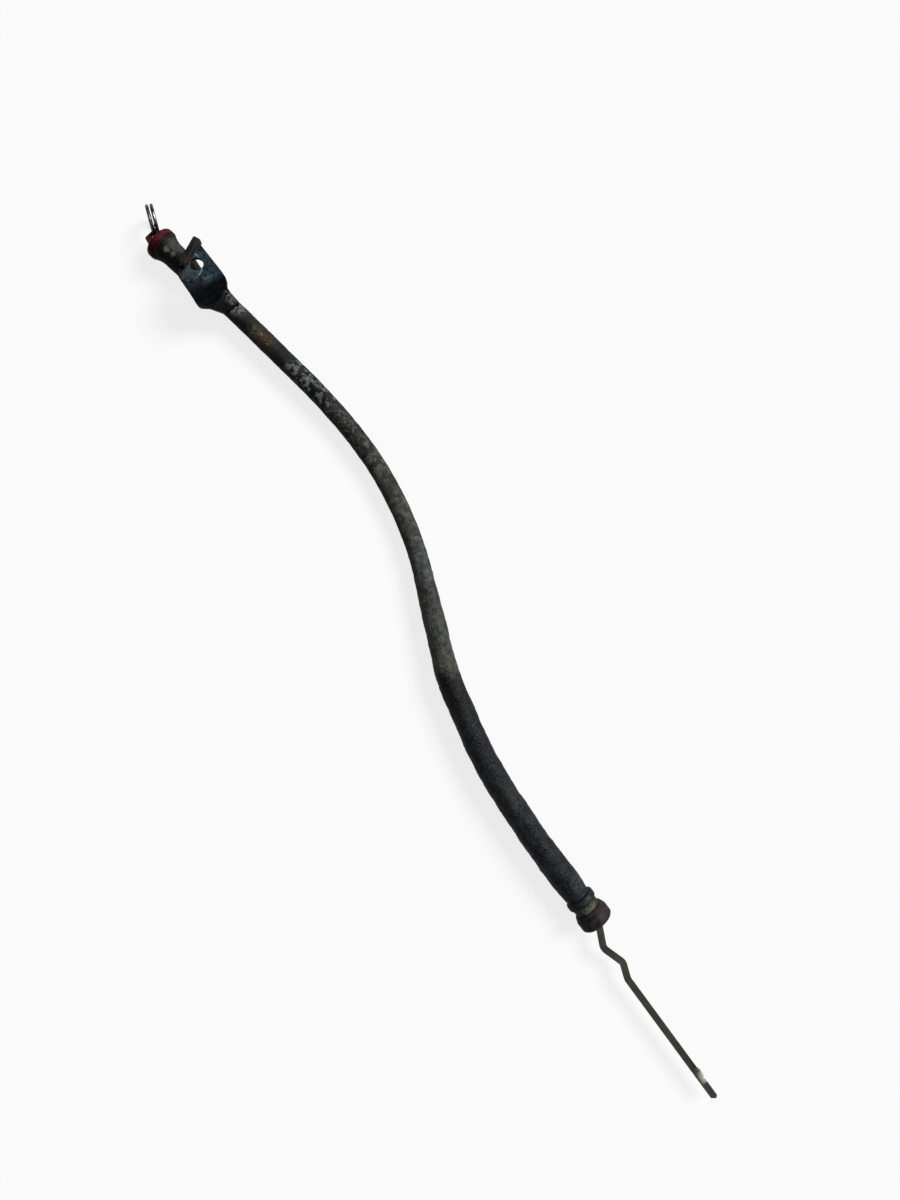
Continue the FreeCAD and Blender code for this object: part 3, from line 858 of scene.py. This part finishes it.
@dataclass
class PlainPieces:
    """The pieces that keep their CAD shape and only get a finish and broken edges."""

    weld_gap: float = 0.01
    edge_angle: float = 35.0
    edge_segments: int = 2

    def bracket(self) -> Finish:
        """Worn blue-grey paint with the mark of a washer and a rusty tab, near-black towards the lower
        end, darker along the lower-left edge and greyer along the upper-right edge.
        """
        down = (0.574, -0.819, 0.0)
        tab = (-0.888, 0.460, 0.0)
        mark = EYE.seen(187.5, 266.5, 22.0)
        return Finish(
            "bracket paint",
            "#0e171f",
            "#263440",
            mottle=2.4,
            contrast=(0.36, 0.64),
            roughness=(0.45, 0.6),
            specular=0.08,
            grain=0.7,
            relief=0.25,
            layers=(
                speckle(1.8, 0.6, "#0b1014", 0.8),
                ring_mark(mark, 1.0, 7.6, "#45545d", 0.8),
                patch(EYE.seen(184, 273, 22.0), 5.0, "#5d6c73", 0.8, 2.0, 0.3, powder=0.4),
                ring_mark(mark, 7.1, 7.5, "#8b9a9e", 0.65),
                patch(EYE.seen(203, 256, 22.0), 3.0, "#4f5e66", 0.5, 1.5, 0.45),
                patch(EYE.seen(207, 279, 22.0), 3.0, "#5f7079", 0.6, 0.9, 0.5),
                speckle(0.6, 0.63, "#7f8d92", 0.35),
                # Near-black towards the lower end, darker along the lower-left edge, greyer along the
                # upper-right edge.
                Band(down, -211.5, -206.5, "#020304", "#0a0e11", 0.97, 1.5, 2.0),
                Band((-0.819, -0.574, 0.0), -14.5, -9.0, "#080c0f", "#141b20", 0.6, 2.0, 2.0),
                Band((0.819, 0.574, 0.0), 26.5, 31.0, "#23231f", "#353530", 0.6, 1.5, 1.5),
                Band(tab, 189.6, 190.2, "#2b2928", "#373331", 0.9, 0.3, 1.5),
                Band(tab, 190.6, 191.1, "#131210", "#2b2723", 1.0, 0.3, 2.0),
                patch(EYE.seen(187.0, 258.5, 25.0), 1.5, "#5a2a20", 0.7, 0.8),
                patch(EYE.seen(234, 298, 12.0), 5.0, "#2f2e2a", 0.85, 5.0, 0.1, powder=0.3),
                patch(EYE.seen(231, 296, 14.0), 4.5, "#7d7f7b", 0.7, 0.9, 0.5),
            ),
        )

    def ferrule(self) -> Finish:
        """Dark paint on the bead with a painted highlight on it, and a bare olive band beside the seal.
        """
        return Finish(
            "ferrule",
            "#0c0f10",
            "#1f2425",
            mottle=1.8,
            specular=0.22,
            relief=0.2,
            layers=(
                # Painted highlight: a pale grey line on the bead's upper-right edge.
                patch(EYE.seen(590, 897, 16.0), 2.0, "#767a78", 0.7, 0.8),
                Band((0.6153, -0.7882, -0.0091), 145.2, 145.8, "#26271f", "#4e4f42", 1.0, 0.3, 2.2),
            ),
        )

    def blade(self) -> Finish:
        """Oily spring steel, with a painted highlight where the paddle of the tip begins."""
        return Finish(
            "blade steel",
            "#393731",
            "#45423b",
            mottle=9.0,
            roughness=(0.35, 0.5),
            metallic=0.2,
            specular=0.2,
            grain=0.5,
            relief=0.03,
            layers=(
                Band((0.0, -1.0, 0.0), 195.0, 205.0, "#31302c", "#403e39", 0.8, 2.0),
                patch(EYE.seen(695, 1062, 9.0), 3.2, "#25211b", 0.8, 5.0, 0.0, powder=0.0, soft=0.8),
                patch(EYE.seen(697, 1072, 9.0), 3.0, "#4c4030", 0.8, 5.0, 0.0, powder=0.0, soft=0.8),
                # Painted highlight: a soft white glare where the paddle of the tip begins.
                patch(EYE.seen(704, 1070, 9.0), 3.8, "#c6c5bd", 0.95, 6.0, 0.0, powder=0.0, soft=0.9),
                patch(EYE.seen(705, 1077, 9.0), 4.4, "#cbcac2", 0.95, 6.0, 0.0, powder=0.0, soft=0.9),
                patch(EYE.seen(699, 1080, 9.0), 1.2, "#4a2f24", 0.8, 0.9, 0.3),
                Band((0.57, -0.82, 0.0), 254.0, 255.0, "#3c3c37", "#474742", 1.0, 0.4),
            ),
        )

    def stopper(self) -> Finish:
        """Dirty dark red plastic, with painted lighter red on its shaded lower-left and a painted shadow
        line where it meets the tube.
        """
        return Finish(
            "stopper plastic",
            "#311115",
            "#4a181c",
            mottle=3.0,
            roughness=(0.42, 0.56),
            specular=0.08,
            grain=0.9,
            relief=0.12,
            layers=(
                patch(EYE.seen(160, 233, 14.0), 3.0, "#641c1c", 0.7, 4.0, 0.4),
                # Painted light: lighter red on the lower-left of the flange, which faces away from the
                # lamp.
                patch(EYE.seen(151, 261, 9.0), 5.0, "#55242a", 0.7, 4.0, 0.2, powder=0.3),
                speckle(0.9, 0.64, "#1a0a0b", 0.5),
                # Painted shade: a dark line at the flange's lower edge, in the gap over the tube's rim.
                Band((0.737, -0.675, -0.027), -234.95, -234.75, "#1c090b", "", 0.7, 0.05),
            ),
        )

    def finishes(self) -> dict[str, tuple[Finish, str, Edge]]:
        """Finish, material slot and edges of each node."""
        seal = Finish("seal rubber", "#1b1718", "#32282a", specular=0.15, grain=0.6, relief=0.2)
        wire = Finish(
            "bright wire",
            "#3f3e3c",
            "#8f8d88",
            mottle=2.0,
            roughness=(0.18, 0.35),
            metallic=1.0,
            relief=0.02,
        )
        ring = Finish("o-ring rubber", "#101010", "#1c1c1c")
        return {
            "mounting_bracket": (self.bracket(), "bracket_paint", Edge.SOFT),
            "end_ferrule": (self.ferrule(), "ferrule_metal", Edge.SOFT),
            "seal_ring": (seal, "seal_rubber", Edge.SOFT),
            "stopper": (self.stopper(), "stopper_plastic", Edge.SOFT),
            "stopper_o_ring": (ring, "o_ring_rubber", Edge.NONE),
            "dipstick_blade": (self.blade(), "blade_steel", Edge.FINE),
            "ring_handle": (wire, "wire_steel", Edge.NONE),
        }

    def build(self) -> None:
        """Dresses every plain node."""
        for name, (finish, slot, edge) in self.finishes().items():
            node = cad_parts[name]
            node.data.materials.clear()
            node.data.materials.append(finish.material())
            if edge is not Edge.NONE:
                weld = node.modifiers.new("weld", "WELD")
                weld.merge_threshold = self.weld_gap * MM
                bevel = node.modifiers.new("edges", "BEVEL")
                bevel.width = edge.value * MM
                bevel.segments = self.edge_segments
                bevel.limit_method = "ANGLE"
                bevel.angle_limit = math.radians(self.edge_angle)
                bevel.harden_normals = True
            LOG.info("%s dressed", name)


@dataclass
class Studio:
    """Floor, light and camera."""

    floor_size: float = 80.0
    floor_gap: float = 0.1
    floor_white: float = 0.8
    mirrored: float = 0.4
    sun_strength: float = 3.5
    sun_width: float = 25.0
    sun_from: tuple[float, float, float] = (0.75, 0.5, 0.8)
    sky_strength: float = 0.15
    lens: float = 27.0
    nearest: float = 0.01

    def build(self) -> None:
        """Builds the floor, the lamps and the camera."""
        self.floor()
        self.light()
        self.camera()

    def floor(self) -> None:
        """Plain pale floor just under the object."""
        half = self.floor_size / 2
        mesh = bpy.data.meshes.new("floor")
        corners = [(-half, -half), (half, -half), (half, half), (-half, half)]
        mesh.from_pydata([(x, y, -self.floor_gap * MM) for x, y in corners], [], [(0, 1, 2, 3)])
        floor = bpy.data.objects.new("floor", mesh)
        bpy.context.scene.collection.objects.link(floor)
        material = bpy.data.materials.new("floor")
        material.use_nodes = True
        graph = Graph(material.node_tree)
        path = graph.add("ShaderNodeLightPath").outputs
        shine = graph.math("MULTIPLY", path["Is Glossy Ray"], self.mirrored)
        seen = graph.math("MAXIMUM", path["Is Camera Ray"], shine)
        colour = graph.mix(seen, linear("#6c6c6c"), linear("#f4f4f4"))
        plain = graph.add("ShaderNodeBsdfDiffuse", {"Color": colour})
        share = graph.math("MULTIPLY", seen, self.floor_white)
        white = graph.add("ShaderNodeEmission", {"Color": linear("#ffffff"), "Strength": 1.0})
        mixed = graph.add("ShaderNodeMixShader", {0: share, 1: plain.outputs[0], 2: white.outputs[0]})
        graph.add("ShaderNodeOutputMaterial", {"Surface": mixed.outputs[0]})
        mesh.materials.append(material)

    def light(self) -> None:
        """Soft light from the upper right, and an even sky."""
        sun = bpy.data.lights.new("key", "SUN")
        sun.energy = self.sun_strength
        sun.angle = math.radians(self.sun_width)
        lamp = bpy.data.objects.new("key", sun)
        lamp.rotation_euler = Vector(self.sun_from).to_track_quat("Z", "Y").to_euler()
        bpy.context.scene.collection.objects.link(lamp)
        world = bpy.data.worlds.new("sky")
        world.use_nodes = True
        graph = Graph(world.node_tree)
        path = graph.add("ShaderNodeLightPath").outputs["Is Camera Ray"]
        strength = graph.add("ShaderNodeMapRange", {"Value": path})
        strength.inputs["To Min"].default_value = self.sky_strength
        strength.inputs["To Max"].default_value = 1.0
        inputs = {"Color": linear("#ffffff"), "Strength": strength.outputs[0]}
        sky = graph.add("ShaderNodeBackground", inputs)
        graph.add("ShaderNodeOutputWorld", {"Surface": sky.outputs[0]})
        bpy.context.scene.world = world

    def camera(self) -> None:
        """Camera straight above, as in the photograph."""
        lens = bpy.data.cameras.new("camera")
        lens.lens = self.lens
        lens.clip_start = self.nearest
        camera = bpy.data.objects.new("camera", lens)
        camera.location = Vector((EYE.x, EYE.y, EYE.z)) * MM
        bpy.context.scene.collection.objects.link(camera)
        bpy.context.scene.camera = camera
        bpy.context.scene.view_settings.view_transform = "Standard"


def main() -> None:
    """Builds every sub-assembly in order."""
    logging.basicConfig(level=logging.INFO, format="%(message)s")
    for part in (GuideTube(), Sleeve(), PlainPieces(), Studio()):
        part.build()
        LOG.info("%s built", type(part).__name__)


if __name__ == "__main__":
    main()
